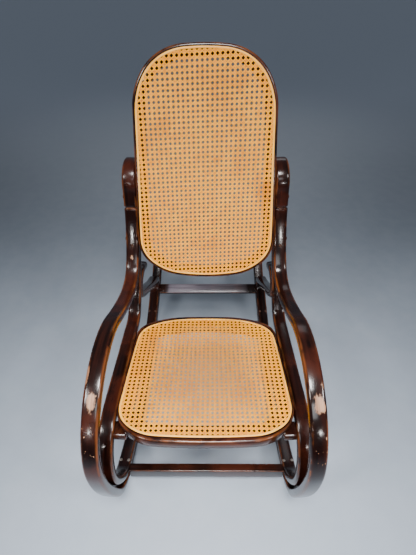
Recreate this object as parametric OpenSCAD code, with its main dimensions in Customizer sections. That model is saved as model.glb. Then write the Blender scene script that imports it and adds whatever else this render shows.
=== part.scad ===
// Bentwood rocking chair with a caned seat and a tall caned back.
// +Z is up, +Y points to the rear, and +X is the right-hand side as seen from the front.
// The floor is z = 0 and the origin lies under the middle of the chair's length and width.

/* [Bentwood stock] */
// Thickness of a bent member in the plane of its bend
stock_t = 25; // [22:0.5:27]
// Width of a bent member across the chair
stock_w = 41; // [37:0.5:43]
// Radius on the long edges of a bent member
stock_round = 8; // [5:0.5:10]

/* [Side frames] */
// Half the spacing of the side frames at the floor, below the seat's middle
side_x = 261; // [259:0.1:263]
// Angle at which the side frames close in towards the rear
toe_in = 2.13; // [1.9:0.01:2.3]
// Angle at which the side frames close in towards the top
lean_in = 1.83; // [1.7:0.01:1.9]
// Radius of the rockers' underside
rocker_radius = 870; // [850:1:890]
// Where the level chair touches the floor, behind the seat's middle
contact_y = 207; // [200:1:212]
// Length of the level flat on which the chair rests there
rest_flat = 60; // [50:1:80]
// Where the rockers end, behind the seat's middle
tail_y = 790; // [770:1:810]
// Distance of the front loops' centreline ahead of the seat's middle
loop_reach = 236.5; // [230:0.5:240]

/* [Seat] */
// Height of the seat's weave at the seat's middle
seat_h = 430; // [428:1:434]
// Angle by which the front of the seat is raised
seat_tilt = 8; // [7.5:0.1:8.5]
// Thickness of the seat frame
seat_t = 30; // [26:1:32]
// Width of the seat frame that the weave covers
seat_cover = 38; // [32:1:42]

/* [Back] */
// Height on the back panel from which its outline is measured
back_h = 900; // [895:1:905]
// Distance of that point behind the seat's middle
back_y = 438; // [436:1:440]
// Angle of the back panel behind upright
back_recline = 16.8; // [16.5:0.1:17.1]
// Thickness of the back frame
back_t = 25; // [22:1:27]
// Width of the back frame that the weave covers
back_cover = 26; // [22:1:30]

/* [Caning] */
// Thickness of the woven cane
cane_t = 1.6; // [1.2:0.1:2]
// Width of the reed spline that locks the cane
spline_w = 6; // [5:0.5:7]
// Depth of the groove under the spline
groove_depth = 7; // [5:0.5:9]
// Distance of the groove inside the weave's drawn edge
groove_inset = 1; // [0.5:0.5:2]

/* [Cross pieces and fasteners] */
// Depth of the front stretcher, front to rear
stretcher_d = 24.5; // [22:0.5:26]
// Height of the front stretcher
stretcher_h = 48; // [44:1:50]
// Width of the rear stretcher's upper face
rear_stretcher_w = 42; // [38:1:44]
// Thickness of the rear stretcher
rear_stretcher_t = 22; // [20:1:25]
// Diameter of a wood screw's shank
screw_d = 5; // [4:0.5:6]
// Diameter of a wood screw's head
screw_head_d = 9.5; // [8:0.5:11]
// Depth of a wood screw's countersunk head
screw_head_h = 3; // [2:0.5:4]
// Length of the screws through the side frames into the seat
seat_screw_l = 62; // [50:1:70]
// Length of the screws through the side frames into the back
back_screw_l = 56; // [50:1:60]
// Length of the screws through the strips into the rockers
strip_screw_l = 42; // [36:1:44]
// Length of the screws that join two bent members where they touch
touch_screw_l = 44; // [36:1:46]
// Length of the screws through the corner blocks into the side frames
block_screw_l = 50; // [45:1:60]
// Diameter of a wooden dowel
dowel_d = 12; // [10:0.5:14]
// Length of a dowel between a side frame and a stretcher
dowel_l = 45; // [40:1:55]
// Length of the dowel in the joint below an ear
ear_dowel_l = 50; // [40:1:60]

/* [Hidden] */
$fn = 48;

wood = "#3a1a12";
cane = "#d9a862";
reed = "#ead6ae";
metal = "#8d8a84";
beech = "#b98a5a";

half_t = stock_t / 2;
half_w = stock_w / 2;

// Waypoint, front to rear, on a line that lies "up" above the rockers' underside
function on_rocker(y, up = half_t) =
    let (r = rocker_radius - up, a = asin((y - contact_y) / r))
    [y, rocker_radius - r * cos(a), a];
// The same waypoint passed from rear to front
function turned(w) = [w[0], w[1], w[2] + 180];

// A waypoint moved sideways, to the left of its heading
function beside(w, d) = [w[0] - d * sin(w[2]), w[1] + d * cos(w[2]), w[2]];

// Where the arm's bend meets the rear limb, and where the limb meets the scroll
arm_touch = [372, 620, 64];
limb_run = 146;
limb_touch = turned(beside(arm_touch, -stock_t));
limb_low = [limb_touch[0] + limb_run * cos(limb_touch[2]),
            limb_touch[1] + limb_run * sin(limb_touch[2]), limb_touch[2]];
scroll_touch = beside(limb_low, stock_t);
// Where the rockers' front rise begins
rise_y = -95;
// Height of a strip's centreline above the rockers' underside, with its line of glue
glue = 0.3;
strip_up = 3 * half_t + glue;

// Each route is a list of waypoints [y, z, heading] joined by pairs of arcs.
// The outer member: rocker, front loop, arm rest and post, up to the joint below the ear.
arm_route = [turned(on_rocker(tail_y)), [contact_y + rest_flat / 2, half_t, 180],
             [contact_y - rest_flat / 2, half_t, 180], turned(on_rocker(rise_y)),
             [-193, 171, 107], [-loop_reach, 415, 90], [-14, 631.5, 0], [175, 562, -22],
             [283, 539.5, 5], arm_touch, [411, 735, 83]];
// The inner member: ear, rear limb, seat rail, inner loop and the strip on the rocker.
rail_route = [[411, 735, 83], [420, 797, 88], [516, 795, -94], limb_touch, limb_low,
              [234, 396, 175], [-50, 420, 175], [-139, 395, -140], [-186, 288, -95],
              [-151, 158, -62], beside(on_rocker(rise_y), stock_t + glue),
              on_rocker(45, strip_up)];
// The scroll behind the rear limb: free end, crook, sweep to the tail and strip on the rocker.
scroll_route = [[458, 468, 171], [395, 487, 187], scroll_touch, [420, 366, -34],
                [627, 225, -27], turned(on_rocker(632, strip_up)),
                turned(on_rocker(450, strip_up))];

// Outlines of the seat and back panels, right half, from the front or bottom middle
// round to the rear or top middle. Waypoints are [x, along, heading].
seat_outer = [[0, -174, 0], [122, -170, 4], [230.9, -62, 90 + toe_in], [220.1, 200, 94],
              [120, 274, 168], [0, 281, 180]];
seat_weave = [[0, -162, 0], [124, -158, 4], [226, -65, 92], [214, 180, 94],
              [110, 262, 170], [0, 269, 180]];
back_outer = [[0, -390, 0], [90, -383, 9], [206.5, -265.5, 91], [199, -73, 92.3],
              [193, 96.5, 92.3], [104, 239, 157], [0, 253.5, 180]];
back_weave = [[0, -382.5, 0], [88, -375.5, 9], [199.5, -263, 91], [192, -73, 92.3],
              [186, 94, 92.3], [100, 232.5, 157], [0, 246.5, 180]];

// Lift that brings the leaning rockers down onto the floor and no lower
side_lift = (half_t - stock_round) * cos(lean_in) + (half_w - stock_round) * sin(lean_in)
          + stock_round - half_t * cos(lean_in);
// Length of the chair, and the shift that centres it on the origin
front_reach = -loop_reach - half_t;
tail_heading = on_rocker(tail_y)[2];
rear_reach = tail_y + half_t * sin(tail_heading);
centre_y = (front_reach + rear_reach) / 2;

// Middle of the front stretcher's section, and the rear stretcher's place on the rocker
stretcher_at = [-98, 76.5];
rear_stretcher_y = 655;
// Middle of the corner block in the side frame's plane, and its size
block_size = [46, 22, 32];
block_at = [-118, seat_h + 118 * sin(seat_tilt) - seat_t - block_size[1] / 2];

// Screws and dowels in the side frame's plane
seat_screw_at = [[-30, 418], [110, 402]];
back_screw_at = [[413, 768], [377, 642]];
stretcher_dowel_at = [[-98, 68], [-98, 90]];
strip_screw_y = -75;
tail_screw_y = 540;
// Distance of a strip's paired screws to either side of its middle
screw_beside = 12.5;
// Length of a block from which a stretcher is cut between the side frames
stretcher_blank = 600;
// Front lower corner and size of a block that covers a whole side frame
beyond_corner = [-500, -100];
beyond_size = [1500, 1400, 250];

// Greatest turn and greatest length of one facet of a bend
facet_turn = 10;
facet_length = 36;

function unit(a) = [cos(a), sin(a)];
function left_of(a) = [-sin(a), cos(a)];
function place(w) = [w[0], w[1]];
// Where the two arcs between two waypoints meet
function arc_meeting(p, q) =
    let (v = place(q) - place(p), s = unit(p[2]), e = unit(q[2]), t = s + e, k = 2 * (1 - s * e),
         d = k < 1e-6 ? (v * v) / (4 * (v * e)) : (sqrt((v * t) * (v * t) + k * (v * v)) - v * t) / k)
    (place(p) + place(q) + d * (s - e)) / 2;
// Turn of the arc that leaves p at heading a and ends at q
function turn_to(p, a, q) = 2 * atan2((q - p) * left_of(a), (q - p) * unit(a));
function facets(p, a, q) =
    ceil(max(abs(turn_to(p, a, q)) / facet_turn, norm(q - p) / facet_length));
// Stations [x, y, heading] on that arc, from p up to q but without q
function arc_stations(p, a, q) =
    let (w = q - p, turn = turn_to(p, a, q), n = facets(p, a, q), side = w * left_of(a),
         r = abs(side) < 1e-6 ? 0 : (w * w) / (2 * side))
    [for (i = [0 : n - 1])
        let (h = a + turn * i / n,
             c = r == 0 ? p + w * i / n : p + r * (left_of(a) - left_of(h)))
        [c[0], c[1], h]];
// Stations along a whole route of waypoints
function stations(route) =
    concat([for (i = [0 : len(route) - 2])
               let (p = route[i], q = route[i + 1], m = arc_meeting(p, q),
                    h = p[2] + turn_to(place(p), p[2], m))
               each concat(arc_stations(place(p), p[2], m), arc_stations(m, h, place(q)))],
           [route[len(route) - 1]]);
// An outline's waypoints moved inwards by d
function inset(route, d) = [for (w = route) [w[0] - d * sin(w[2]), w[1] + d * cos(w[2]), w[2]]];

// Corner points of the bentwood section, [left of the path, across], with eased edges
ease = 0.4 * stock_round;
section = [for (c = [[1, 1], [-1, 1], [-1, -1], [1, -1]])
              let (flip = c[0] * c[1] > 0,
                   a = [c[0] * half_t, c[1] * (half_w - stock_round + ease)],
                   b = [c[0] * (half_t - stock_round + ease), c[1] * half_w])
              each (flip ? [a, b] : [b, a])];

// A member bent along a route in its side frame's plane
module bent(route) {
    at = stations(route);
    n = len(section);
    rings = [for (s = at, c = section)
                [s[0] - c[0] * sin(s[2]), s[1] + c[0] * cos(s[2]), c[1]]];
    sides = [for (i = [0 : len(at) - 2], j = [0 : n - 1])
                [i * n + j, i * n + (j + 1) % n, (i + 1) * n + (j + 1) % n, (i + 1) * n + j]];
    start = [for (j = [n - 1 : -1 : 0]) j];
    end = [for (j = [0 : n - 1]) (len(at) - 1) * n + j];
    polyhedron(rings, concat([start], sides, [end]), convexity = 10);
}

// Moves a side frame's own plane (y, z, outward) to its place on the right-hand side
module right_side() {
    translate([side_x, -centre_y, side_lift]) rotate([0, 0, toe_in]) rotate([0, -lean_in, 0])
        rotate([90, 0, 90]) children();
}

module left_side() {
    mirror([1, 0, 0]) right_side() children();
}

module both_sides() {
    left_side() children();
    right_side() children();
}

// The filled outline of a panel
module outline(route) {
    right = [for (s = stations(route)) place(s)];
    left = [for (i = [len(right) - 2 : -1 : 1]) [-right[i][0], right[i][1]]];
    polygon(concat(right, left));
}

// The seat's own plane: x across, y to the rear, z out of the weave
module on_seat() {
    translate([0, -centre_y, seat_h]) rotate([-seat_tilt, 0, 0]) children();
}

// The back's own plane: x across, y up along the panel, z out of the weave to the front
module on_back() {
    translate([0, back_y - centre_y, back_h]) rotate([90 - back_recline, 0, 0]) children();
}

// The space on and beyond the side frames' inner faces
module beyond_sides() {
    both_sides() translate([beyond_corner[0], beyond_corner[1], -half_w]) cube(beyond_size);
}

// A countersunk wood screw along z, with its head's top at z = 0.
// Its hole is the same shape, open above the head.
module screw(length, hole = false) {
    translate([0, 0, -screw_head_h])
        cylinder(h = screw_head_h, d1 = screw_d, d2 = screw_head_d);
    translate([0, 0, -length]) cylinder(h = length - screw_head_h, d = screw_d);
    if (hole)
        cylinder(h = screw_head_h, d = screw_head_d);
}

// Panel frame: a ring with a groove for the spline, under the plane of the weave
module panel_frame(outer, weave, cover, thick) {
    difference() {
        translate([0, 0, -thick]) linear_extrude(thick) outline(outer);
        translate([0, 0, -thick - 1]) linear_extrude(thick + 2) outline(inset(weave, cover));
        translate([0, 0, -groove_depth]) linear_extrude(groove_depth + 1) spline_ring(weave);
    }
}

module spline_ring(weave) {
    difference() {
        outline(inset(weave, groove_inset));
        outline(inset(weave, groove_inset + spline_w));
    }
}

// Woven cane: a thin sheet that stops at the spline
module cane_sheet(weave) {
    linear_extrude(cane_t) outline(inset(weave, groove_inset + spline_w));
}

// Reed spline that fills the groove and stands level with the cane
module reed_spline(weave) {
    translate([0, 0, -groove_depth]) linear_extrude(groove_depth + cane_t) spline_ring(weave);
}

// Fasteners of one side frame, each in the side frame's plane
module seat_screw_pair(hole = false) {
    for (p = seat_screw_at)
        translate([p[0], p[1], half_w]) screw(seat_screw_l, hole);
}

module back_screw_pair(hole = false) {
    for (p = back_screw_at)
        translate([p[0], p[1], half_w]) screw(back_screw_l, hole);
}

// Two screws side by side through a strip into the rocker below it
module strip_screw_pair(y, hole = false) {
    w = on_rocker(y, strip_up + half_t);
    for (side = [-1, 1])
        translate([w[0], w[1], side * screw_beside])
            rotate(w[2]) rotate([-90, 0, 0]) screw(strip_screw_l, hole);
}

// The screw through the arm's bend into the rear limb
module arm_screw(hole = false) {
    head = beside(arm_touch, half_t);
    translate(place(head)) rotate(head[2] + 90) rotate([0, 90, 0]) screw(touch_screw_l, hole);
}

// The screw through the scroll's crook into the rear limb
module scroll_screw(hole = false) {
    head = beside(scroll_touch, half_t);
    translate(place(head)) rotate(head[2] + 90) rotate([0, 90, 0]) screw(touch_screw_l, hole);
}

module ear_dowel() {
    translate([411, 735, 0]) rotate(83) rotate([0, 90, 0])
        cylinder(h = ear_dowel_l, d = dowel_d, center = true);
}

module stretcher_dowel_set() {
    for (p = stretcher_dowel_at)
        translate([p[0], p[1], -half_w]) cylinder(h = dowel_l, d = dowel_d, center = true);
    w = on_rocker(rear_stretcher_y);
    translate([w[0], w[1], -half_w]) cylinder(h = dowel_l, d = dowel_d, center = true);
}

module block_screw(hole = false) {
    translate([block_at[0], block_at[1], -half_w - block_size[2]])
        mirror([0, 0, 1]) screw(block_screw_l, hole);
}

// Rounded block that packs the gap between the rail and the seat's front corner
module seat_block() {
    difference() {
        translate([block_at[0], block_at[1], -half_w - block_size[2]])
            linear_extrude(block_size[2]) rotate(-seat_tilt) rounded_rectangle();
        block_screw(true);
    }
}

module rounded_rectangle() {
    r = 8;
    square([block_size[0] - 2 * r, block_size[1]], center = true);
    square([block_size[0], block_size[1] - 2 * r], center = true);
    for (i = [-1, 1], j = [-1, 1])
        translate([i * (block_size[0] / 2 - r), j * (block_size[1] / 2 - r)]) circle(r);
}

module runner_arm() {
    difference() {
        bent(arm_route);
        ear_dowel();
        stretcher_dowel_set();
        strip_screw_pair(strip_screw_y, true);
        strip_screw_pair(tail_screw_y, true);
        arm_screw(true);
        back_screw_pair(true);
    }
}

module ear_rail() {
    difference() {
        bent(rail_route);
        ear_dowel();
        stretcher_dowel_set();
        strip_screw_pair(strip_screw_y, true);
        arm_screw(true);
        scroll_screw(true);
        seat_screw_pair(true);
        back_screw_pair(true);
        block_screw(true);
    }
}

module rear_scroll() {
    difference() {
        bent(scroll_route);
        scroll_screw(true);
        strip_screw_pair(tail_screw_y, true);
    }
}

module left_runner_arm() { color(wood) left_side() runner_arm(); }
module right_runner_arm() { color(wood) right_side() runner_arm(); }
module left_ear_rail() { color(wood) left_side() ear_rail(); }
module right_ear_rail() { color(wood) right_side() ear_rail(); }
module left_rear_scroll() { color(wood) left_side() rear_scroll(); }
module right_rear_scroll() { color(wood) right_side() rear_scroll(); }
module left_seat_block() { color(wood) left_side() seat_block(); }
module right_seat_block() { color(wood) right_side() seat_block(); }

module seat_frame() {
    color(wood) difference() {
        on_seat() panel_frame(seat_outer, seat_weave, seat_cover, seat_t);
        beyond_sides();
        both_sides() seat_screw_pair(true);
    }
}

module seat_cane() { color(cane) on_seat() cane_sheet(seat_weave); }
module seat_spline() { color(reed) on_seat() reed_spline(seat_weave); }

module back_frame() {
    color(wood) difference() {
        on_back() panel_frame(back_outer, back_weave, back_cover, back_t);
        beyond_sides();
        both_sides() back_screw_pair(true);
    }
}

module back_cane() { color(cane) on_back() cane_sheet(back_weave); }
module back_spline() { color(reed) on_back() reed_spline(back_weave); }

module front_stretcher() {
    color(wood) difference() {
        translate([0, stretcher_at[0] - centre_y, stretcher_at[1]])
            cube([stretcher_blank, stretcher_d, stretcher_h], center = true);
        beyond_sides();
        both_sides() stretcher_dowel_set();
    }
}

module rear_stretcher() {
    w = on_rocker(rear_stretcher_y);
    color(wood) difference() {
        translate([0, w[0] - centre_y, w[1]]) rotate([w[2], 0, 0])
            cube([stretcher_blank, rear_stretcher_w, rear_stretcher_t], center = true);
        beyond_sides();
        both_sides() stretcher_dowel_set();
    }
}

module ear_dowels() { color(beech) both_sides() ear_dowel(); }
module stretcher_dowels() { color(beech) both_sides() stretcher_dowel_set(); }
module seat_screws() { color(metal) both_sides() seat_screw_pair(); }
module back_screws() { color(metal) both_sides() back_screw_pair(); }
module strip_screws() { color(metal) both_sides() strip_screw_pair(strip_screw_y); }
module tail_screws() { color(metal) both_sides() strip_screw_pair(tail_screw_y); }
module arm_screws() { color(metal) both_sides() arm_screw(); }
module scroll_screws() { color(metal) both_sides() scroll_screw(); }
module block_screws() { color(metal) both_sides() block_screw(); }

left_runner_arm();
right_runner_arm();
left_ear_rail();
right_ear_rail();
left_rear_scroll();
right_rear_scroll();
seat_frame();
seat_cane();
seat_spline();
back_frame();
back_cane();
back_spline();
front_stretcher();
rear_stretcher();
left_seat_block();
right_seat_block();
ear_dowels();
stretcher_dowels();
seat_screws();
back_screws();
strip_screws();
tail_screws();
arm_screws();
scroll_screws();
block_screws();
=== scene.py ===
"""Bentwood rocking chair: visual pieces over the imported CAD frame.

Lengths are in millimetres in the same design coordinates as the CAD source
(y behind the seat's middle, z above the floor) until a mesh is made, in metres.
"""

import math
import random

import bpy
import numpy as np
from mathutils import Matrix, Quaternion, Vector


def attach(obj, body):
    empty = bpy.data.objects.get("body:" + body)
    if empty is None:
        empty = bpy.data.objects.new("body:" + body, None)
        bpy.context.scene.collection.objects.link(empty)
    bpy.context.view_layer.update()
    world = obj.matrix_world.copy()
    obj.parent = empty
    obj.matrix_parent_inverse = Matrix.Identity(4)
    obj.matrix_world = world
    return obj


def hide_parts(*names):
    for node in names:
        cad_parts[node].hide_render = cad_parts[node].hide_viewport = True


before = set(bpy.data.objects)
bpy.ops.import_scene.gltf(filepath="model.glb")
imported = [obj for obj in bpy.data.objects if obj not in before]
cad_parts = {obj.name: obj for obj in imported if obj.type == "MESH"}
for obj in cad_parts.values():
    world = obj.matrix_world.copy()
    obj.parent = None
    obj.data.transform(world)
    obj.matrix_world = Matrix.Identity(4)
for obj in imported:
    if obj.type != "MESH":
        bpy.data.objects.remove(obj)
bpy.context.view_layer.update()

# ---------------------------------------------------------------- dimensions
STOCK_T, STOCK_W, STOCK_R = 25.0, 41.0, 8.0
HALF_T, HALF_W = STOCK_T / 2, STOCK_W / 2
SIDE_X, TOE_IN, LEAN_IN = 261.0, 2.13, 1.83
ROCKER_R, CONTACT_Y, REST_FLAT, TAIL_Y = 870.0, 207.0, 60.0, 790.0
LOOP_REACH, RISE_Y = 236.5, -95.0
SEAT_H, SEAT_TILT, SEAT_T, SEAT_COVER = 430.0, 8.0, 30.0, 38.0
BACK_H, BACK_Y, BACK_RECLINE, BACK_T, BACK_COVER = 900.0, 438.0, 16.8, 25.0, 26.0
SPLINE_W, GROOVE_INSET = 6.0, 1.0
GLUE = 0.3
STRIP_UP = 3 * HALF_T + GLUE
CANE_PITCH = 12.7
BACK_STRETCH = 1.025


def on_rocker(y, up=HALF_T):
    r = ROCKER_R - up
    a = math.asin((y - CONTACT_Y) / r)
    return (y, ROCKER_R - r * math.cos(a), math.degrees(a))


def turned(w):
    return (w[0], w[1], w[2] + 180)


def beside(w, d):
    a = math.radians(w[2])
    return (w[0] - d * math.sin(a), w[1] + d * math.cos(a), w[2])


ARM_TOUCH = (372, 620, 64)
LIMB_TOUCH = turned(beside(ARM_TOUCH, -STOCK_T))
LIMB_RUN = 146
LIMB_LOW = (LIMB_TOUCH[0] + LIMB_RUN * math.cos(math.radians(LIMB_TOUCH[2])),
            LIMB_TOUCH[1] + LIMB_RUN * math.sin(math.radians(LIMB_TOUCH[2])),
            LIMB_TOUCH[2])
SCROLL_TOUCH = beside(LIMB_LOW, STOCK_T)
EAR_JOINT = (411, 735, 83)

ARM_ROUTE = [turned(on_rocker(TAIL_Y)), (CONTACT_Y + REST_FLAT / 2, HALF_T, 180),
             (CONTACT_Y - REST_FLAT / 2, HALF_T, 180), turned(on_rocker(RISE_Y)),
             (-193, 171, 107), (-LOOP_REACH, 415, 90), (-14, 631.5, 0), (175, 562, -22),
             (283, 539.5, 5), ARM_TOUCH, EAR_JOINT]
RAIL_ROUTE = [EAR_JOINT, (420, 797, 88), (516, 795, -94), LIMB_TOUCH, LIMB_LOW,
              (234, 396, 175), (-50, 420, 175), (-139, 395, -140), (-186, 288, -95),
              (-151, 158, -62), beside(on_rocker(RISE_Y), STOCK_T + GLUE),
              on_rocker(45, STRIP_UP)]
SCROLL_ROUTE = [(458, 468, 171), (395, 487, 187), SCROLL_TOUCH, (420, 366, -34),
                (627, 225, -27), turned(on_rocker(632, STRIP_UP)),
                turned(on_rocker(450, STRIP_UP))]
SEAT_OUTER = [(0, -174, 0), (122, -170, 4), (230.9, -62, 90 + TOE_IN), (220.1, 200, 94),
              (120, 274, 168), (0, 281, 180)]
SEAT_WEAVE = [(0, -162, 0), (124, -158, 4), (226, -65, 92), (214, 180, 94),
              (110, 262, 170), (0, 269, 180)]
BACK_OUTER = [(0, -390, 0), (90, -383, 9), (206.5, -265.5, 91), (199, -73, 92.3),
              (193, 96.5, 92.3), (104, 239, 157), (0, 253.5, 180)]
BACK_WEAVE = [(0, -382.5, 0), (88, -375.5, 9), (199.5, -263, 91), (192, -73, 92.3),
              (186, 94, 92.3), (100, 232.5, 157), (0, 246.5, 180)]

TAIL_HEADING = math.radians(on_rocker(TAIL_Y)[2])
CENTRE_Y = (-LOOP_REACH - HALF_T + TAIL_Y + HALF_T * math.sin(TAIL_HEADING)) / 2
LEAN = math.radians(LEAN_IN)
SIDE_LIFT = ((HALF_T - STOCK_R) * math.cos(LEAN) + (HALF_W - STOCK_R) * math.sin(LEAN)
             + STOCK_R - HALF_T * math.cos(LEAN))


def turn_about(axis, degrees):
    return Matrix.Rotation(math.radians(degrees), 4, axis)


# From a side frame's plane (y, z, outward) to the row frame, in millimetres
RIGHT = (Matrix.Translation((SIDE_X, -CENTRE_Y, SIDE_LIFT)) @ turn_about("Z", TOE_IN)
         @ turn_about("Y", -LEAN_IN) @ turn_about("Z", 90) @ turn_about("X", 90))
LEFT = Matrix.Scale(-1, 4, (1, 0, 0)) @ RIGHT
ON_SEAT = Matrix.Translation((0, -CENTRE_Y, SEAT_H)) @ turn_about("X", -SEAT_TILT)
ON_BACK = (Matrix.Translation((0, BACK_Y - CENTRE_Y, BACK_H))
           @ turn_about("X", 90 - BACK_RECLINE))
TO_SIDE = np.array(RIGHT.inverted())


def moved(points, matrix):
    m = np.array(matrix)
    return np.asarray(points, float) @ m[:3, :3].T + m[:3, 3]


# -------------------------------------------------------------------- routes
def unit(a):
    return np.array([math.cos(a), math.sin(a)])


def left_of(a):
    return np.array([-math.sin(a), math.cos(a)])


def arc_turn(p, a, q):
    v = q - p
    return 2 * math.atan2(v @ left_of(a), v @ unit(a))


def arc_meeting(p, a, q, b):
    v, s, e = q - p, unit(a), unit(b)
    t, k = s + e, 2 * (1 - s @ e)
    if k < 1e-9:
        d = (v @ v) / (4 * (v @ e))
    else:
        d = (math.sqrt((v @ t) ** 2 + k * (v @ v)) - v @ t) / k
    return (p + q + d * (s - e)) / 2


def arc_points(p, a, q, count):
    turn, w = arc_turn(p, a, q), q - p
    side = w @ left_of(a)
    r = 0 if abs(side) < 1e-6 else (w @ w) / (2 * side)
    out = []
    for i in range(count):
        h = a + turn * i / count
        c = p + w * i / count if r == 0 else p + r * (left_of(a) - left_of(h))
        out.append((c[0], c[1], h))
    return out


# Greatest turn in degrees and greatest length between stations on a bend
TURN_STEP, LENGTH_STEP = 4.0, 9.0


def stations(route, count=None):
    """Dense (x, y, heading in radians) stations along a route of waypoints."""
    out = []
    for p, q in zip(route, route[1:]):
        a, b = math.radians(p[2]), math.radians(q[2])
        p2, q2 = np.array(p[:2], float), np.array(q[:2], float)
        m = arc_meeting(p2, a, q2, b)
        h = a + arc_turn(p2, a, m)
        for start, heading, end in ((p2, a, m), (m, h, q2)):
            n = count or max(1, math.ceil(max(
                abs(math.degrees(arc_turn(start, heading, end))) / TURN_STEP,
                np.linalg.norm(end - start) / LENGTH_STEP)))
            out += arc_points(start, heading, end, n)
    last = route[-1]
    out.append((last[0], last[1], math.radians(last[2])))
    return np.array(out)


# -------------------------------------------------------------------- meshes
def make_piece(name, points, faces, material, replaced, attributes=None, split=50.0):
    """A mesh piece of the chair from points in row millimetres.

    Edges sharper than split degrees stay sharp, and the rest is shaded smooth.
    """
    mesh = bpy.data.meshes.new(name)
    mesh.from_pydata((np.asarray(points) / 1000).tolist(), [], faces)
    mesh.validate()
    for key, values in (attributes or {}).items():
        values = np.asarray(values, np.float32)
        kind = "FLOAT" if values.ndim == 1 else "FLOAT_VECTOR"
        layer = mesh.attributes.new(key, kind, "POINT")
        layer.data.foreach_set("value" if kind == "FLOAT" else "vector", values.ravel())
    mesh.shade_smooth()
    mesh.set_sharp_from_angle(angle=math.radians(split))
    mesh.materials.append(material)
    mesh.update()
    obj = bpy.data.objects.new(name, mesh)
    bpy.context.scene.collection.objects.link(obj)
    if replaced:
        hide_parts(*replaced)
    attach(obj, "root")


def ring_faces(rows, columns, closed_rows=False):
    """Quads between rings of points, each ring closed."""
    out = []
    for i in range(rows if closed_rows else rows - 1):
        n = (i + 1) % rows
        for j in range(columns):
            k = (j + 1) % columns
            out.append((i * columns + j, i * columns + k,
                        n * columns + k, n * columns + j))
    return out


def loft_faces(rows, columns):
    """Quads between rings of points, with a cap on the first and the last ring."""
    return ring_faces(rows, columns) + [
        tuple(range(columns - 1, -1, -1)),
        tuple(range((rows - 1) * columns, rows * columns))]


def flipped(faces):
    return [f[::-1] for f in faces]


def shifted(faces, start):
    """The same faces for points that are stored from index start on."""
    return [tuple(start + k for k in f) for f in faces]


# Corners of a rounded rectangle, counter-clockwise: signs, and where the arc starts
CORNERS = ((1, 1, 0), (-1, 1, 90), (-1, -1, 180), (1, -1, 270))
CORNER_STEPS = 6
# How much the middle of each face of the stock stands above the face's ends
CROWN = 0.5


def corner_arcs(steps):
    """(sign, sign, angle, edge) round the corners; edge is 1 in a corner's middle."""
    for cx, cy, start in CORNERS:
        for i in range(steps + 1):
            yield (cx, cy, math.radians(start + 90 * i / steps),
                   math.sin(math.pi * i / steps) ** 2)


def stock_section():
    """(left, across, edge) round the bentwood section, counter-clockwise."""
    out = []
    for i, (cx, cy, a, edge) in enumerate(corner_arcs(CORNER_STEPS)):
        out.append((cx * (HALF_T - CROWN - STOCK_R) + STOCK_R * math.cos(a),
                    cy * (HALF_W - CROWN - STOCK_R) + STOCK_R * math.sin(a), edge))
        if i % (CORNER_STEPS + 1) == CORNER_STEPS:
            # the crowned middle of the face that follows this corner
            out.append((HALF_T * math.cos(a), HALF_W * math.sin(a), 0.0))
    return np.array(out)


SECTION = stock_section()


# Rings that shape a member's end: (distance from the end, inset)
END_RINGS = {
    "joint": [(0.0, 4.8), (2.8, 4.8), (3.3, 4.0), (4.3, 1.0), (5.2, 0.2), (7.0, 0.0)],
    "round": [(0.0, 9.0), (0.5, 6.2), (1.6, 3.8), (3.4, 1.8), (6.0, 0.5), (9.0, 0.0)],
    "square": [(0.0, 2.2), (0.5, 0.9), (1.4, 0.25), (2.6, 0.0)],
}
# Least room between an end's rings and the first plain ring, and how far an end is rubbed
END_ROOM, END_RUB = 2, 7


def station_at(track, lengths, s):
    """Station interpolated at arc length s."""
    y = np.interp(s, lengths, track[:, 0])
    z = np.interp(s, lengths, track[:, 1])
    h = np.interp(s, lengths, track[:, 2])
    return y, z, h


def bent_member(name, node, route, matrix, start_end, far_end, phase, marks=(), chips=()):
    """Bentwood member swept along a route, with its worn places as attributes."""
    track = stations(route)
    step = np.linalg.norm(np.diff(track[:, :2], axis=0), axis=1)
    lengths = np.concatenate([[0], np.cumsum(step)])
    total = lengths[-1]
    first, last = END_RINGS[start_end], END_RINGS[far_end]
    rows = list(first)
    rows += [(s, 0.0) for s in lengths
             if first[-1][0] + END_ROOM < s < total - last[-1][0] - END_ROOM]
    rows += [(total - d, inset) for d, inset in reversed(last)]
    points, path, edge = [], [], []
    for s, inset in rows:
        y, z, h = station_at(track, lengths, s)
        left = SECTION[:, 0] * (HALF_T - inset) / HALF_T
        across = SECTION[:, 1] * (HALF_W - inset) / HALF_W
        points.append(np.column_stack([y - left * math.sin(h), z + left * math.cos(h),
                                       across]))
        path.append(np.column_stack([np.full(len(left), s), across, left]))
        near_end = max(0.0, 1 - min(s, total - s) / END_RUB)
        edge.append(np.maximum(SECTION[:, 2], near_end))
    n = len(SECTION)
    flat = np.concatenate(points)
    path = np.concatenate(path) / 1000 + phase
    edge = np.concatenate(edge)
    faces = flipped(ring_faces(len(rows), n))
    count = len(flat)
    caps = np.array([flat[:n].mean(0), flat[-n:].mean(0)])
    flat = np.concatenate([flat, caps])
    path = np.concatenate([path, path[[0, -2]]])
    edge = np.concatenate([edge, [0.6, 0.6]])
    for j in range(n):
        k = (j + 1) % n
        faces.append((count, j, k))
        faces.append((count + 1, count - n + k, count - n + j))
    worn = np.zeros(len(flat))
    for y, z, w, along, wide, strength in marks:
        d2 = ((flat[:, 0] - y) ** 2 + (flat[:, 1] - z) ** 2) / along ** 2
        d2 = d2 + ((flat[:, 2] - w) / wide) ** 2
        worn = np.maximum(worn, strength * np.exp(-d2))
    chip = np.zeros(len(flat))
    for y, z, size, strength in chips:
        d2 = ((flat[:, 0] - y) ** 2 + (flat[:, 1] - z) ** 2) / size ** 2
        chip = np.maximum(chip, strength * np.exp(-d2))
    if matrix.determinant() < 0:
        faces = flipped(faces)
    make_piece(name, moved(flat, matrix), faces, WOOD, [node],
               {"path": path, "edge": edge, "worn": worn, "chip": chip}, split=60)


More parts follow.
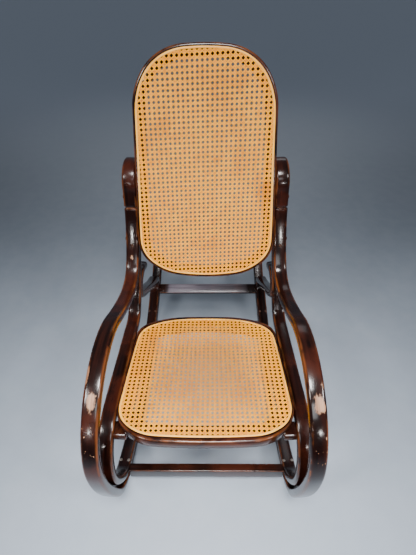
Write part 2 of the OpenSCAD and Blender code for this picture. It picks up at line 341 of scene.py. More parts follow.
# ----------------------------------------------------------------- materials
class Shader:
    """A node material in the making."""

    def __init__(self, name):
        self.material = bpy.data.materials.new(name)
        self.material.use_nodes = True
        self.tree = self.material.node_tree
        self.surface = self.tree.nodes["Principled BSDF"]

    def add(self, kind, **settings):
        made = self.tree.nodes.new(kind)
        inputs = settings.pop("inputs", {})
        for key, value in settings.items():
            setattr(made, key, value)
        for key, value in inputs.items():
            self.feed(made.inputs[key], value)
        return made

    def feed(self, socket, value):
        if isinstance(value, bpy.types.NodeSocket):
            self.tree.links.new(value, socket)
        else:
            socket.default_value = value

    def set(self, **values):
        for key, value in values.items():
            self.feed(self.surface.inputs[key.replace("_", " ")], value)

    def attribute(self, name, vector=False):
        made = self.add("ShaderNodeAttribute", attribute_name=name)
        return made.outputs["Vector" if vector else "Fac"]

    def position(self):
        return self.add("ShaderNodeTexCoord").outputs["Object"]

    def scaled(self, vector, scale):
        made = self.add("ShaderNodeMapping", inputs={"Vector": vector, "Scale": scale})
        return made.outputs["Vector"]

    def noise(self, vector, scale, detail=3.0, rough=0.5, warp=0.0):
        made = self.add("ShaderNodeTexNoise", inputs={
            "Vector": vector, "Scale": scale, "Detail": detail, "Roughness": rough,
            "Distortion": warp})
        return made.outputs["Fac"]

    def part_of(self, vector, axis):
        return self.add("ShaderNodeSeparateXYZ", inputs={"Vector": vector}).outputs[axis]

    def math(self, operation, a, b=0.0, clamp=False):
        made = self.add("ShaderNodeMath", operation=operation, use_clamp=clamp)
        self.feed(made.inputs[0], a)
        self.feed(made.inputs[1], b)
        return made.outputs["Value"]

    def ramp(self, value, low, high, out_low=0.0, out_high=1.0):
        made = self.add("ShaderNodeMapRange", interpolation_type="SMOOTHSTEP", inputs={
            "Value": value, "From Min": low, "From Max": high, "To Min": out_low,
            "To Max": out_high})
        return made.outputs["Result"]

    def mix(self, factor, a, b):
        made = self.add("ShaderNodeMix", data_type="RGBA")
        self.feed(made.inputs[0], factor)
        self.feed(made.inputs[6], a if isinstance(a, bpy.types.NodeSocket) else (*a, 1))
        self.feed(made.inputs[7], b if isinstance(b, bpy.types.NodeSocket) else (*b, 1))
        return made.outputs[2]

    def bump(self, height, strength, distance):
        made = self.add("ShaderNodeBump", inputs={
            "Height": height, "Strength": strength, "Distance": distance})
        self.set(Normal=made.outputs["Normal"])


def dark_wood():
    """Dark stain under gloss lacquer, with rubbed edges, bare patches, chips and a painted
    grey sheen, a reflection painted into the colour where a piece asks for it.
    """
    s = Shader("dark_lacquered_wood")
    path, edge = s.attribute("path", True), s.attribute("edge")
    worn, chip = s.attribute("worn"), s.attribute("chip")
    painted_sheen = s.attribute("painted_sheen")
    place = s.position()
    streaks = s.noise(s.scaled(path, (5, 110, 110)), 1.0, 6, 0.62, 0.4)
    broad = s.noise(s.scaled(path, (2.2, 26, 26)), 1.0, 3, 0.5, 0.3)
    pores = s.noise(s.scaled(path, (22, 900, 900)), 1.0, 2, 0.5)
    cloud = s.noise(place, 7.0, 3, 0.55)
    grain = s.math("ADD", s.math("MULTIPLY", streaks, 0.6), s.math("MULTIPLY", broad, 0.4))
    stain = s.mix(s.ramp(grain, 0.36, 0.66), (0.0018, 0.0007, 0.0006),
                  (0.016, 0.0042, 0.0025))
    stain = s.mix(s.ramp(cloud, 0.46, 0.66, 0.0, 0.6), stain, (0.046, 0.0092, 0.0040))
    rub = s.math("MULTIPLY", s.math("POWER", edge, 1.4),
                 s.ramp(s.noise(s.scaled(path, (16, 40, 40)), 1.0, 4, 0.6), 0.40, 0.62))
    stain = s.mix(s.math("MULTIPLY", rub, 0.55), stain, (0.210, 0.062, 0.016))
    ragged = s.noise(s.scaled(path, (70, 120, 120)), 1.0, 5, 0.65)
    bare = s.ramp(s.math("ADD", worn, s.math("MULTIPLY", s.math("SUBTRACT", ragged, 0.5),
                                             0.9)), 0.40, 0.62)
    bare_tone = s.mix(s.ramp(streaks, 0.35, 0.65), (0.180, 0.080, 0.040),
                      (0.360, 0.210, 0.130))
    colour = s.mix(bare, stain, bare_tone)
    specks = s.ramp(s.math("ADD", s.noise(s.scaled(path, (95, 170, 170)), 1.0, 2, 0.5),
                           s.math("MULTIPLY", chip, 0.13)), 0.80, 0.83)
    colour = s.mix(specks, colour, (0.300, 0.175, 0.105))
    # Painted sheen: the grey-lavender colour is a reflection painted onto the rear
    # stretcher's upper face, broken up by the grain streaks
    dull = s.math("MULTIPLY", painted_sheen, s.ramp(streaks, 0.25, 0.60, 0.45, 0.9))
    colour = s.mix(dull, colour, (0.270, 0.240, 0.285))
    gloss = s.ramp(cloud, 0.3, 0.7, 0.14, 0.24)
    gloss = s.math("ADD", gloss, s.math("MULTIPLY", bare, 0.22), True)
    s.set(Base_Color=colour, Roughness=gloss, Coat_Weight=0.12, Coat_Roughness=0.04,
          Specular_IOR_Level=0.27)
    height = s.math("ADD", s.math("MULTIPLY", pores, 0.35), s.math("MULTIPLY", streaks, 0.65))
    height = s.math("SUBTRACT", height, s.math("MULTIPLY", s.math("ADD", bare, specks), 0.6))
    s.bump(height, 0.22, 0.0006)
    return s.material


def cane_material(name, dusty=False):
    """Honey-coloured cane; a dusty one is duller wherever its fade attribute is high. Painted
    light is in it too: pale glints on the strands, painted shade on the strands' edges, and
    brighter tones for the strands that lie on top.
    """
    s = Shader(name)
    path, tone_and_painted_light, fade = s.attribute("path", True), s.attribute("tone_and_painted_light"), s.attribute("fade")
    fibres = s.noise(s.scaled(path, (25, 1400, 1400)), 1.0, 3, 0.6)
    along = s.noise(s.scaled(path, (9, 30, 30)), 1.0, 3, 0.55)
    place = s.position()
    blotch = s.noise(place, 9.0, 4, 0.6)
    base = s.mix(s.ramp(along, 0.3, 0.7), (0.560, 0.145, 0.002), (0.880, 0.275, 0.004))
    # Each strand's tone lightens it towards pale orange; part of the tone is random, part is
    # painted light that makes the diagonals on top brighter than the strands under them
    base = s.mix(s.math("MULTIPLY", tone_and_painted_light, 0.90), base, (1.0, 0.450, 0.010))
    base = s.mix(s.ramp(blotch, 0.50, 0.75, 0.0, 0.50), base, (0.480, 0.115, 0.004))
    flecks = s.noise(s.scaled(path, (150, 150, 150)), 1.0, 2, 0.5)
    base = s.mix(s.ramp(flecks, 0.58, 0.70, 0.0, 0.65), base, (0.300, 0.080, 0.010))
    # Painted glints: the pale yellow flecks stand in for small highlights on the strands
    base = s.mix(s.ramp(flecks, 0.42, 0.30, 0.0, 0.55), base, (1.0, 0.600, 0.070))
    base = s.mix(s.ramp(fibres, 0.55, 0.75, 0.0, 0.35), base, (0.300, 0.085, 0.010))
    if dusty:
        base = s.mix(s.math("MULTIPLY", fade, 0.60), base, (0.260, 0.115, 0.036))
    # Painted shade: the strands' bevelled edges are darkened to near-black brown, standing in
    # for the shadows between the strands and round the holes
    across = s.math("ABSOLUTE", s.part_of(path, "Y"))
    base = s.mix(s.ramp(across, 0.00062, 0.00100, 0.0, 0.55), base, (0.080, 0.018, 0.003))
    s.set(Base_Color=base, Roughness=s.ramp(along, 0.3, 0.7, 0.38, 0.55),
          Specular_IOR_Level=0.12)
    s.bump(fibres, 0.25, 0.0003)
    return s.material


def reed_material():
    s = Shader("pale_reed")
    path = s.attribute("path", True)
    fibres = s.noise(s.scaled(path, (12, 900, 900)), 1.0, 3, 0.6)
    along = s.noise(s.scaled(path, (14, 60, 60)), 1.0, 4, 0.6)
    base = s.mix(s.ramp(along, 0.3, 0.7), (0.720, 0.310, 0.035), (0.930, 0.470, 0.070))
    base = s.mix(s.ramp(fibres, 0.52, 0.75, 0.0, 0.35), base, (0.480, 0.200, 0.040))
    s.set(Base_Color=base, Roughness=s.ramp(along, 0.3, 0.7, 0.38, 0.52))
    s.bump(fibres, 0.3, 0.0004)
    return s.material


def beech_material():
    s = Shader("bare_beech")
    place = s.position()
    grain = s.noise(s.scaled(place, (60, 400, 400)), 1.0, 4, 0.6)
    flecks = s.noise(s.scaled(place, (300, 900, 900)), 1.0, 2, 0.5)
    base = s.mix(s.ramp(grain, 0.3, 0.7), (0.480, 0.270, 0.130), (0.640, 0.410, 0.220))
    base = s.mix(s.ramp(flecks, 0.6, 0.75, 0.0, 0.4), base, (0.330, 0.170, 0.080))
    s.set(Base_Color=base, Roughness=s.ramp(grain, 0.3, 0.7, 0.45, 0.6))
    s.bump(grain, 0.2, 0.0004)
    return s.material


def steel_material(name, bright, dark, dull):
    s = Shader(name)
    place = s.position()
    brushed = s.noise(s.scaled(place, (2500, 300, 300)), 1.0, 3, 0.6)
    rust = s.ramp(s.noise(place, 420.0, 4, 0.6), 0.50, 0.66)
    base = s.mix(rust, bright, dark)
    s.set(Base_Color=base, Roughness=s.ramp(brushed, 0.3, 0.7, dull, dull + 0.2),
          Metallic=0.9)
    s.bump(brushed, 0.15, 0.0002)
    return s.material


WOOD = dark_wood()
CANE_BACK = cane_material("woven_cane_back")
CANE_SEAT = cane_material("woven_cane_seat", True)
REED = reed_material()
BEECH = beech_material()
STEEL = steel_material("dull_steel", (0.420, 0.390, 0.350), (0.150, 0.070, 0.035), 0.28)
STAINED = steel_material("stained_steel", (0.060, 0.028, 0.018), (0.020, 0.008, 0.006), 0.42)

# ----------------------------------------------------------- bentwood members
# Worn places: (y, z, across, radius along, radius across, strength)
ARM_MARKS = {
    "left": [(-150, 607, -1, 27, 12, 1.0), (-98, 633, 17, 30, 6, 0.9),
             (345, 592, 5, 14, 9, 0.8)],
    "right": [(-156, 604, 3, 27, 14, 1.0), (-120, 622, 14, 14, 6, 0.6)],
}
# Chipped places: (y, z, radius, strength)
ARM_CHIPS = [(-225, 520, 90, 1.0), (-60, 640, 90, 0.6), (399, 736, 30, 0.7)]
RAIL_CHIPS = [(-150, 300, 80, 0.4)]
# Each member's grain starts elsewhere in the pattern
for side, matrix, phase in (("left", LEFT, 11.3), ("right", RIGHT, 3.7)):
    bent_member(side + "_rocker_and_arm", side + "_runner_arm", ARM_ROUTE, matrix,
                "round", "joint", phase, ARM_MARKS[side], ARM_CHIPS)
    bent_member(side + "_ear_and_rail", side + "_ear_rail", RAIL_ROUTE, matrix,
                "joint", "square", phase + 40, chips=RAIL_CHIPS)
    bent_member(side + "_scroll", side + "_rear_scroll", SCROLL_ROUTE, matrix,
                "round", "square", phase + 80)


# -------------------------------------------------------------------- panels
# Stations on each arc of an outline
ARC_COUNT = 9
# Gap between a side frame and what is cut to it
SIDE_GAP = 0.05


def panel_loop(route, inset=0.0):
    """Closed loop of a panel's outline, moved inwards by inset."""
    half = stations(route, count=ARC_COUNT)
    x = half[:, 0] - inset * np.sin(half[:, 2])
    y = half[:, 1] + inset * np.cos(half[:, 2])
    x[0] = x[-1] = 0.0
    right = np.column_stack([x, y])
    left = right[-2:0:-1] * (-1, 1)
    return np.concatenate([right, left])


def loop_lengths(loop):
    step = np.linalg.norm(np.roll(loop, -1, axis=0) - loop, axis=1)
    return np.concatenate([[0], np.cumsum(step)[:-1]])


def keep_between_sides(points):
    """Moves points that would enter the side frames back onto their inner faces."""
    points = np.array(points)
    for _ in range(2):
        mirrored = points.copy()
        mirrored[:, 0] = np.abs(points[:, 0])
        across = mirrored @ TO_SIDE[2, :3] + TO_SIDE[2, 3]
        over = np.maximum(0, across + HALF_W + SIDE_GAP)
        points[:, 0] -= np.sign(points[:, 0]) * over
    return points


def panel_frame(name, node, outer, weave, cover, thick, matrix, phase):
    """Bent frame of a panel: a ring with eased edges, hollowed a little under the cane."""
    edge_loop = panel_loop(outer)
    weave_loop = panel_loop(weave)
    # how far the outer edge lies below the plane of the weave
    drop = 4.5
    # (share of the way from the outer edge to the weave's, height, rubbed edge)
    rings = []
    for share, z, edge in ((0.75, -thick, 0.3), (0.25, -thick + 1.2, 1.0),
                           (0.0, -thick + 4.0, 0.5), (0.0, -drop, 0.4),
                           (0.12, -0.45 * drop, 1.0), (0.38, -0.14 * drop, 0.8),
                           (0.75, -0.02 * drop, 0.2), (1.0, 0.0, 0.0)):
        rings.append((edge_loop + (weave_loop - edge_loop) * share, z, edge))
    # (distance inside the weave's edge, height, rubbed edge)
    for inset, z, edge in ((GROOVE_INSET, 0.0, 0.0), (GROOVE_INSET + 0.2, -1.5, 0.0),
                           (GROOVE_INSET + SPLINE_W, -5.0, 0.0), (cover - 3.5, -5.0, 0.0),
                           (cover - 1.0, -5.8, 0.6), (cover, -8.0, 0.6),
                           (cover, -thick + 4, 0.4), (cover - 1.2, -thick + 1.2, 0.8),
                           (cover - 4.0, -thick, 0.2)):
        rings.append((panel_loop(weave, inset), z, edge))
    n = len(edge_loop)
    columns = len(rings)
    lengths = loop_lengths(weave_loop)
    points = np.zeros((n, columns, 3))
    path = np.zeros((n, columns, 3))
    edges = np.zeros((n, columns))
    for j, (loop, z, edge) in enumerate(rings):
        points[:, j, :2] = loop
        points[:, j, 2] = z
        path[:, j, 0] = lengths
        path[:, j, 1] = np.linalg.norm(loop - edge_loop, axis=1)
        path[:, j, 2] = z
        edges[:, j] = edge
    flat = keep_between_sides(moved(points.reshape(-1, 3), matrix))
    faces = ring_faces(n, columns, True)
    make_piece(name, flat, faces, WOOD, [node],
               {"path": path.reshape(-1, 3) / 1000 + phase, "edge": edges.ravel(),
                "worn": np.zeros(n * columns), "chip": np.zeros(n * columns)}, split=70)


def spline_piece(name, node, weave, matrix, phase):
    """Half-round reed pressed into the groove."""
    steps, sunk, foot, crown = 7, -1.4, -0.2, 1.75
    profile = [(GROOVE_INSET, sunk)]
    for i in range(steps + 1):
        a = math.pi * i / steps
        profile.append((GROOVE_INSET + SPLINE_W / 2 - SPLINE_W / 2 * math.cos(a),
                        foot + crown * math.sin(a)))
    profile.append((GROOVE_INSET + SPLINE_W, sunk))
    loops = [panel_loop(weave, d) for d, _ in profile]
    n, columns = len(loops[0]), len(profile)
    lengths = loop_lengths(loops[0])
    points, path = np.zeros((n, columns, 3)), np.zeros((n, columns, 3))
    for j, (loop, (d, z)) in enumerate(zip(loops, profile)):
        points[:, j, :2], points[:, j, 2] = loop, z
        path[:, j] = np.column_stack([lengths, np.full(n, d), np.full(n, z)])
    make_piece(name, moved(points.reshape(-1, 3), matrix), ring_faces(n, columns, True),
               REED, [node], {"path": path.reshape(-1, 3) / 1000 + phase}, split=70)


panel_frame("seat_ring", "seat_frame", SEAT_OUTER, SEAT_WEAVE, SEAT_COVER, SEAT_T,
            ON_SEAT, 5.0)
panel_frame("back_ring", "back_frame", BACK_OUTER, BACK_WEAVE, BACK_COVER, BACK_T,
            ON_BACK, 9.0)
spline_piece("seat_reed", "seat_spline", SEAT_WEAVE, ON_SEAT, 2.0)
spline_piece("back_reed", "back_spline", BACK_WEAVE, ON_BACK, 4.0)


# ---------------------------------------------------------------------- cane
# Half the spacing of two paired strands
PAIR_GAP = 1.32
STRAND_W, STRAND_T = 2.08, 0.62
DIAGONAL_W = 2.15
# Strand's section: (share of half the width, share of half the thickness)
STRAND_SECTION = ((-1, 0.0), (-0.55, 1.0), (0.55, 1.0), (1, 0.0), (0, -0.55))
# Height of the strands' middle above the panel's plane
WEAVE_LIFT = 0.8
# Strands' rise and fall, and how much higher the diagonals lie
WAVE, DIAGONAL_LIFT = 0.42, 0.35
# Strands that are tried to either side of a panel's middle
SPAN = 60


def chord(loop, point, direction):
    """Where a line crosses a closed loop: distances along the line, or None."""
    normal = np.array([-direction[1], direction[0]])
    side = (loop - point) @ normal
    along = (loop - point) @ direction
    other, other_along = np.roll(side, -1), np.roll(along, -1)
    hits = [along[i] + (other_along[i] - along[i]) * side[i] / (side[i] - other[i])
            for i in range(len(loop)) if side[i] * other[i] < 0]
    if len(hits) < 2 or max(hits) - min(hits) < 6:
        return None
    return min(hits), max(hits)


def weave_layer(name, nodes, loop, matrix, lines, width, wave, material, seed, sag, fade,
                light=0.0):
    """Flat strands along lines, rising and falling by wave(distance, strand)."""
    draw = random.Random(seed)
    points, faces, path, tone_and_painted_light, fades = [], [], [], [], []
    total = 0
    sides = len(STRAND_SECTION)
    for index, (point, direction, stride) in enumerate(lines):
        found = chord(loop, point, direction)
        if found is None:
            continue
        low, high = found
        first, last = math.floor(low / stride), math.ceil(high / stride)
        marks = np.array([low] + [k * stride for k in range(first - 1, last + 2)
                                  if low + 0.5 < k * stride < high - 0.5] + [high])
        normal = np.array([-direction[1], direction[0]])
        lift = wave(marks, index)
        middle = point + marks[:, None] * direction
        middle = middle + 0.10 * draw.uniform(-1, 1) * normal
        # A strand's tone is its layer's painted light plus a random share
        shade, where = light + 0.5 * draw.random(), draw.uniform(0, 50)
        z = lift + sag(middle)
        for side, up in STRAND_SECTION:
            flat = middle + side * width / 2 * normal
            points.append(np.column_stack([flat, z + up * STRAND_T / 2 + WEAVE_LIFT]))
            path.append(np.column_stack([marks / 1000 + where, np.full(len(marks), side)
                                         * width / 2000, np.full(len(marks), up / 5000)]))
        n = len(marks)
        tone_and_painted_light += [shade] * (sides * n)
        fades.append(np.tile(fade(middle), sides))
        for i in range(n - 1):
            for j in range(sides):
                k = (j + 1) % sides
                faces.append((total + j * n + i, total + j * n + i + 1,
                              total + k * n + i + 1, total + k * n + i))
        faces.append([total + j * n for j in range(sides)])
        faces.append([total + j * n + n - 1 for j in range(sides - 1, -1, -1)])
        total += sides * n
    make_piece(name, moved(np.concatenate(points), matrix), faces, material, nodes,
               {"path": np.concatenate(path), "tone_and_painted_light": tone_and_painted_light, "fade": np.concatenate(fades)},
               split=35)


def crossing(period, shift):
    """Wave of paired strands: neighbours rise and fall in turn."""
    def wave(marks, index):
        flip = 1 if index % 2 else -1
        return WAVE * 0.5 * flip * np.cos(2 * math.pi * marks / period + shift)
    return wave


def steady(period, size):
    """Wave of the diagonals, the same for each strand, above the other layers."""
    def wave(marks, index):
        return DIAGONAL_LIFT + size * np.cos(4 * math.pi * marks / period)
    return wave


def cane_panel(label, node, weave, matrix, middle, material, tilt, stretch, seed, sag,
               fade):
    """Six-way woven cane: paired uprights, paired rows and two diagonals."""
    # the strands' ends are tucked a little under the spline
    loop = panel_loop(weave, GROOVE_INSET + SPLINE_W - 1.2)
    up, across = np.array([0.0, 1.0]), np.array([1.0, 0.0])
    row = unit(math.radians(tilt))
    rise, column = row * CANE_PITCH, up * CANE_PITCH * stretch
    uprights, rows = [], []
    for i in range(-SPAN, SPAN + 1):
        for pair in (-1, 1):
            uprights.append((middle + i * rise + pair * PAIR_GAP * across, up,
                             CANE_PITCH / 4))
            rows.append((middle + i * column + pair * PAIR_GAP * up, row, CANE_PITCH / 4))

    def layer(kind, nodes, lines, width, wave, number, light=0.0):
        weave_layer(label + kind, nodes, loop, matrix, lines, width, wave, material,
                    seed + number, sag, fade, light)

    layer("_uprights", [node], uprights, STRAND_W, crossing(CANE_PITCH * stretch, 0), 0)
    layer("_rows", [], rows, STRAND_W, crossing(CANE_PITCH, math.pi), 1)
    # The diagonals lie on top and get painted light, so they come out brighter than the
    # uprights and rows under them
    for kind, diagonal, size, number, light in (
            ("_rising_diagonals", rise + column, WAVE, 2, 0.5),
            ("_falling_diagonals", column - rise, -WAVE, 3, 0.4)):
        length = np.linalg.norm(diagonal)
        lines = [(middle + (i + 0.5) * rise, diagonal / length, length / 4)
                 for i in range(-SPAN, SPAN + 1)]
        layer(kind, [], lines, DIAGONAL_W, steady(length, size), number, light)


def dish(centre, half_x, half_y, depth):
    """Smooth hollow that is level near the rim."""
    def sag(points):
        r = np.sqrt(((points[:, 0] - centre[0]) / half_x) ** 2
                    + ((points[:, 1] - centre[1]) / half_y) ** 2)
        return -depth * np.clip(1 - r ** 2, 0, 1) ** 2
    return sag


seat_sag = dish((0, 50), 185, 185, 7.0)
back_sag = dish((0, -60), 165, 270, 3.0)


def seat_fade(points):
    r = np.sqrt((points[:, 0] / 185) ** 2 + ((points[:, 1] - 40) / 190) ** 2)
    return np.clip(1.25 - r, 0, 1)


def no_fade(points):
    return np.zeros(len(points))


cane_panel("seat_cane", "seat_cane", SEAT_WEAVE, ON_SEAT, np.array([0.0, 53.5]),
           CANE_SEAT, 0.0, 1.0, 21, seat_sag, seat_fade)
cane_panel("back_cane", "back_cane", BACK_WEAVE, ON_BACK, np.array([0.0, -65.0]),
           CANE_BACK, 2.4, BACK_STRETCH, 31, back_sag, no_fade)


# ---------------------------------------------------------------- stretchers
def inner_x(y, z):
    """Distance from the chair's middle to the side frames' inner face (row y, z)."""
    x = np.full(np.shape(y), SIDE_X - HALF_W)
    for _ in range(4):
        across = x * TO_SIDE[2, 0] + y * TO_SIDE[2, 1] + z * TO_SIDE[2, 2] + TO_SIDE[2, 3]
        x = x - (across + HALF_W)
    return x


def stretcher(name, node, centre, depth, height, turn, radius, phase, painted_sheen=0.0):
    """Cross piece with eased long edges, its ends cut to the side frames."""
    section, edges = [], []
    for cy, cz, a, edge in corner_arcs(5):
        section.append((cy * (depth / 2 - radius) + radius * math.cos(a),
                        cz * (height / 2 - radius) + radius * math.sin(a)))
        edges.append(edge)
    section = np.array(section)
    a = math.radians(turn)
    y = centre[0] - CENTRE_Y + section[:, 0] * math.cos(a) - section[:, 1] * math.sin(a)
    z = centre[1] + section[:, 0] * math.sin(a) + section[:, 1] * math.cos(a)
    reach = inner_x(y, z) - SIDE_GAP
    shares = np.linspace(-1, 1, 41)
    points, path = [], []
    for share in shares:
        points.append(np.column_stack([reach * share, y, z]))
        path.append(np.column_stack([reach * share, section]))
    flat = np.concatenate(points)
    faces = flipped(loft_faces(len(shares), len(section)))
    zeros = np.zeros(len(flat))
    # painted sheen: a grey reflection painted on the upper face, short of both ends, and
    # thinning out to the right
    upper = np.where(section[:, 1] > height / 2 - 1.5, painted_sheen, 0.0)
    inner = np.clip((0.86 - np.abs(shares)) * 14, 0, 1) * np.clip(0.55 - 0.5 * shares, 0, 1)
    make_piece(name, flat, faces, WOOD, [node],
               {"path": np.concatenate(path) / 1000 + phase,
                "edge": np.tile(edges, len(shares)), "worn": zeros, "chip": zeros,
                "painted_sheen": np.outer(inner, upper).ravel()})


FRONT_STRETCHER_AT, REAR_STRETCHER_Y = (-98, 76.5), 655
FRONT_STRETCHER_D, FRONT_STRETCHER_H = 24.5, 48
REAR_STRETCHER_W, REAR_STRETCHER_T = 42, 22
stretcher("front_rail", "front_stretcher", FRONT_STRETCHER_AT, FRONT_STRETCHER_D,
          FRONT_STRETCHER_H, turn=0, radius=3.0, phase=13.0)
rear_at = on_rocker(REAR_STRETCHER_Y)
stretcher("rear_rail", "rear_stretcher", rear_at[:2], REAR_STRETCHER_W, REAR_STRETCHER_T,
          turn=rear_at[2], radius=4.5, phase=17.0, painted_sheen=1.0)


# ------------------------------------------------------------- corner blocks
BLOCK = (46.0, 22.0, 32.0)
BLOCK_AT = (-118.0, SEAT_H + 118 * math.sin(math.radians(SEAT_TILT)) - SEAT_T - BLOCK[1] / 2)


def corner_block(side, matrix, phase):
    """Rounded block between the rail and the seat's front corner."""
    corner, ease = 8.0, 2.5
    outline, edges = [], []
    a0 = math.radians(-SEAT_TILT)

    def ring(inset):
        out = []
        for cx, cy, a, _ in corner_arcs(5):
            x = cx * (BLOCK[0] / 2 - corner) + (corner - inset) * math.cos(a)
            y = cy * (BLOCK[1] / 2 - corner) + (corner - inset) * math.sin(a)
            out.append((BLOCK_AT[0] + x * math.cos(a0) - y * math.sin(a0),
                        BLOCK_AT[1] + x * math.sin(a0) + y * math.cos(a0)))
        return np.array(out)

    rows = [(-HALF_W - 0.1, 0.0, 0.2), (-HALF_W - BLOCK[2] + ease, 0.0, 0.4),
            (-HALF_W - BLOCK[2] + 0.7, 0.7, 1.0), (-HALF_W - BLOCK[2], ease, 0.5)]
    for w, inset, edge in rows:
        loop = ring(inset)
        outline.append(np.column_stack([loop, np.full(len(loop), w)]))
        edges += [edge] * len(loop)
    flat = np.concatenate(outline)
    faces = loft_faces(len(rows), len(outline[0]))
    if matrix.determinant() > 0:
        faces = flipped(faces)
    zeros = np.zeros(len(flat))
    make_piece(side + "_corner_block", moved(flat, matrix), faces, WOOD,
               [side + "_seat_block"],
               {"path": flat / 1000 + phase, "edge": edges, "worn": zeros, "chip": zeros})


corner_block("left", LEFT, 1.7)
corner_block("right", RIGHT, 7.9)

# --------------------------------------------------------------- screw heads
SEAT_SCREWS = [(-30, 418), (110, 402)]
BACK_SCREWS = [(413, 768), (377, 642)]
STRIP_SCREW_Y, TAIL_SCREW_Y, SCREW_BESIDE = -75, 540, 12.5
HEAD_R, SLOT_W, SLOT_FLOOR = 4.75, 1.1, -0.75


def head_mesh(turn):
    """Slotted countersunk head about the origin, facing +z: points and faces."""
    points, faces = [], []

    def loft(loops):
        faces.extend(shifted(loft_faces(len(loops), len(loops[0])), len(points)))
        for loop in loops:
            points.extend(loop)

    def disc(r, z):
        steps = 28
        return [(r * math.cos(2 * math.pi * i / steps), r * math.sin(2 * math.pi * i / steps),
                 z) for i in range(steps)]

    def half(flip, scale, z):
        """Half of the head beside the slot, shrunk towards the slot's side."""
        steps, low = 14, math.asin(SLOT_W / 2 / HEAD_R)
        out = []
        for i in range(steps + 1):
            a = low + (math.pi - 2 * low) * i / steps
            x, y = HEAD_R * math.cos(a), HEAD_R * math.sin(a)
            x, y = x * scale, SLOT_W / 2 + (y - SLOT_W / 2) * scale
            out.append((x * math.cos(flip) - y * math.sin(flip),
                        x * math.sin(flip) + y * math.cos(flip), z))
        return out

    loft([disc(HEAD_R - 1.2, -2.0), disc(HEAD_R, SLOT_FLOOR)])
    for flip in (0.0, math.pi):
        loft([half(flip, 1.0, SLOT_FLOOR), half(flip, 1.0, 0.05), half(flip, 0.9, 0.35),
              half(flip, 0.6, 0.55)])
    spin = np.array(Matrix.Rotation(turn, 4, "Z"))
    return moved(np.array(points), spin), faces


def screw_set(name, node, places, material=STAINED):
    """Heads at (matrix, point in the side frame's plane, outward direction)."""
    draw = random.Random(len(name))
    points, faces = [], []
    for matrix, point, direction in places:
        shape, quads = head_mesh(draw.uniform(0, math.pi))
        aim = Vector(direction).to_track_quat("Z", "Y").to_matrix().to_4x4()
        if matrix.determinant() < 0:
            quads = flipped(quads)
        faces += shifted(quads, sum(len(p) for p in points))
        points.append(moved(moved(shape, Matrix.Translation(point) @ aim), matrix))
    make_piece(name, np.concatenate(points), faces, material, [node],
               split=35)


def on_both(items):
    return [(m, p, d) for m in (LEFT, RIGHT) for p, d in items]


def flat_direction(w):
    a = math.radians(w[2] + 90)
    return (math.cos(a), math.sin(a), 0)


def strip_places(y):
    w = on_rocker(y, STRIP_UP + HALF_T)
    return [((w[0], w[1], s * SCREW_BESIDE), flat_direction(w)) for s in (-1, 1)]


screw_set("seat_screw_heads", "seat_screws",
          on_both([((p[0], p[1], HALF_W), (0, 0, 1)) for p in SEAT_SCREWS]))
screw_set("back_screw_heads", "back_screws",
          on_both([((p[0], p[1], HALF_W), (0, 0, 1)) for p in BACK_SCREWS]))
screw_set("strip_screw_heads", "strip_screws", on_both(strip_places(STRIP_SCREW_Y)), STEEL)
screw_set("tail_screw_heads", "tail_screws", on_both(strip_places(TAIL_SCREW_Y)))
arm_head = beside(ARM_TOUCH, HALF_T)
scroll_head = beside(SCROLL_TOUCH, HALF_T)
screw_set("arm_screw_heads", "arm_screws",
          on_both([((arm_head[0], arm_head[1], 0), flat_direction(arm_head))]))
screw_set("scroll_screw_heads", "scroll_screws",
          on_both([((scroll_head[0], scroll_head[1], 0), flat_direction(scroll_head))]))
screw_set("block_screw_heads", "block_screws",
          on_both([((BLOCK_AT[0], BLOCK_AT[1], -HALF_W - BLOCK[2]), (0, 0, -1))]))

# The hidden dowels stay as the CAD made them
for node in ("ear_dowels", "stretcher_dowels"):
    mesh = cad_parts[node].data
    if mesh.materials:
        mesh.materials[0] = BEECH
    else:
        mesh.materials.append(BEECH)

# ------------------------------------------------------- floor, light, camera
floor_mesh = bpy.data.meshes.new("studio_floor")
FLOOR = 30.0
floor_mesh.from_pydata([(-FLOOR, -FLOOR, 0), (FLOOR, -FLOOR, 0), (FLOOR, FLOOR, 0),
                        (-FLOOR, FLOOR, 0)], [], [(0, 1, 2, 3)])
floor = bpy.data.objects.new("studio_floor", floor_mesh)
bpy.context.scene.collection.objects.link(floor)
ground = Shader("pale_floor")
speckle = ground.noise(ground.position(), 14.0, 4, 0.6)
back_and_forth = ground.part_of(ground.position(), "Y")
# Painted shade: the floor's colour darkens behind the chair, standing in for the chair's
# shadow and the lamps' falloff, and is painted pale again far away
floor_with_painted_shade = ground.mix(ground.ramp(back_and_forth, -0.8, 1.0), (0.300, 0.348, 0.414),
                   (0.172, 0.198, 0.235))
floor_with_painted_shade = ground.mix(ground.ramp(back_and_forth, 0.9, 3.4), floor_with_painted_shade, (0.560, 0.600, 0.660))
floor_with_painted_shade = ground.mix(ground.ramp(speckle, 0.3, 0.7, 0.0, 0.02), floor_with_painted_shade, (1, 1, 1))
ground.set(Base_Color=floor_with_painted_shade, Roughness=0.55)
floor_mesh.materials.append(ground.material)


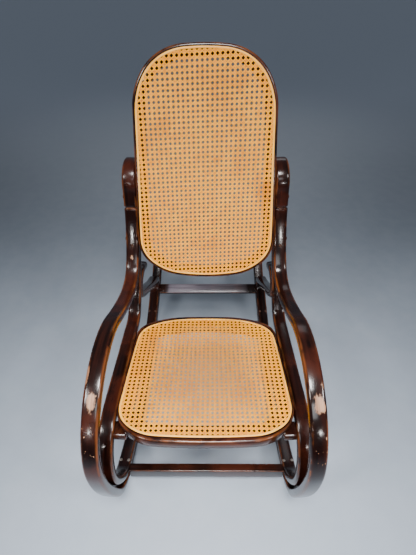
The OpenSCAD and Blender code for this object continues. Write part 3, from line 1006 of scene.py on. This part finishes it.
def area_light(name, place, target, size, power, colour, spread):
    data = bpy.data.lights.new(name, "AREA")
    data.shape, data.size, data.size_y = "RECTANGLE", size[0], size[1]
    data.energy, data.color = power, colour
    data.spread = math.radians(spread)
    lamp = bpy.data.objects.new(name, data)
    lamp.location = place
    aim = Vector(target) - Vector(place)
    lamp.rotation_mode = "QUATERNION"
    lamp.rotation_quaternion = aim.to_track_quat("-Z", "Y")
    bpy.context.scene.collection.objects.link(lamp)


area_light("key_left", (-1.35, -1.35, 2.1), (-0.1, -0.35, 0.4), (0.5, 0.4), 7,
           (1.0, 0.98, 0.95), 72)
area_light("key_right", (1.45, -1.25, 2.1), (0.1, -0.35, 0.4), (0.5, 0.4), 6,
           (1.0, 0.98, 0.96), 72)
area_light("front", (0.1, -1.85, 1.75), (0, -0.75, 0.1), (1.0, 0.6), 5, (0.96, 0.98, 1.0),
           78)
for sign in (-1, 1):
    area_light("low_front", (sign * 0.78, -2.2, 1.0), (sign * 0.23, 0.1, 0.66),
               (0.10, 0.10), 0.7, (1.0, 0.98, 0.95), 60)
area_light("rear_fill", (0.4, 3.2, 2.6), (0, 0.3, 0.5), (1.6, 1.0), 3, (0.94, 0.97, 1.0),
           110)
area_light("top", (0.03, -1.15, 2.75), (0, -0.4, 0.4), (0.8, 0.45), 27, (1.0, 0.99, 0.98),
           85)
world = bpy.data.worlds.new("studio")
bpy.context.scene.world = world
world.use_nodes = True
backdrop = world.node_tree.nodes["Background"]
backdrop.inputs["Color"].default_value = (0.70, 0.80, 0.95, 1)
backdrop.inputs["Strength"].default_value = 0.20

CAMERA_AT = (0.015, -0.574 - CENTRE_Y / 1000, 1.384)
PITCH, YAW, ROLL, LENS = math.radians(43.7), math.radians(0.60), math.radians(0.43), 25.3
camera_data = bpy.data.cameras.new("camera")
camera_data.lens, camera_data.sensor_width = LENS, 36
camera = bpy.data.objects.new("camera", camera_data)
camera.location = CAMERA_AT
forward = Vector((-math.sin(YAW) * math.cos(PITCH), math.cos(YAW) * math.cos(PITCH),
                  -math.sin(PITCH)))
camera.rotation_mode = "QUATERNION"
camera.rotation_quaternion = (forward.to_track_quat("-Z", "Y")
                              @ Quaternion((0, 0, 1), -ROLL))
bpy.context.scene.collection.objects.link(camera)
bpy.context.scene.camera = camera
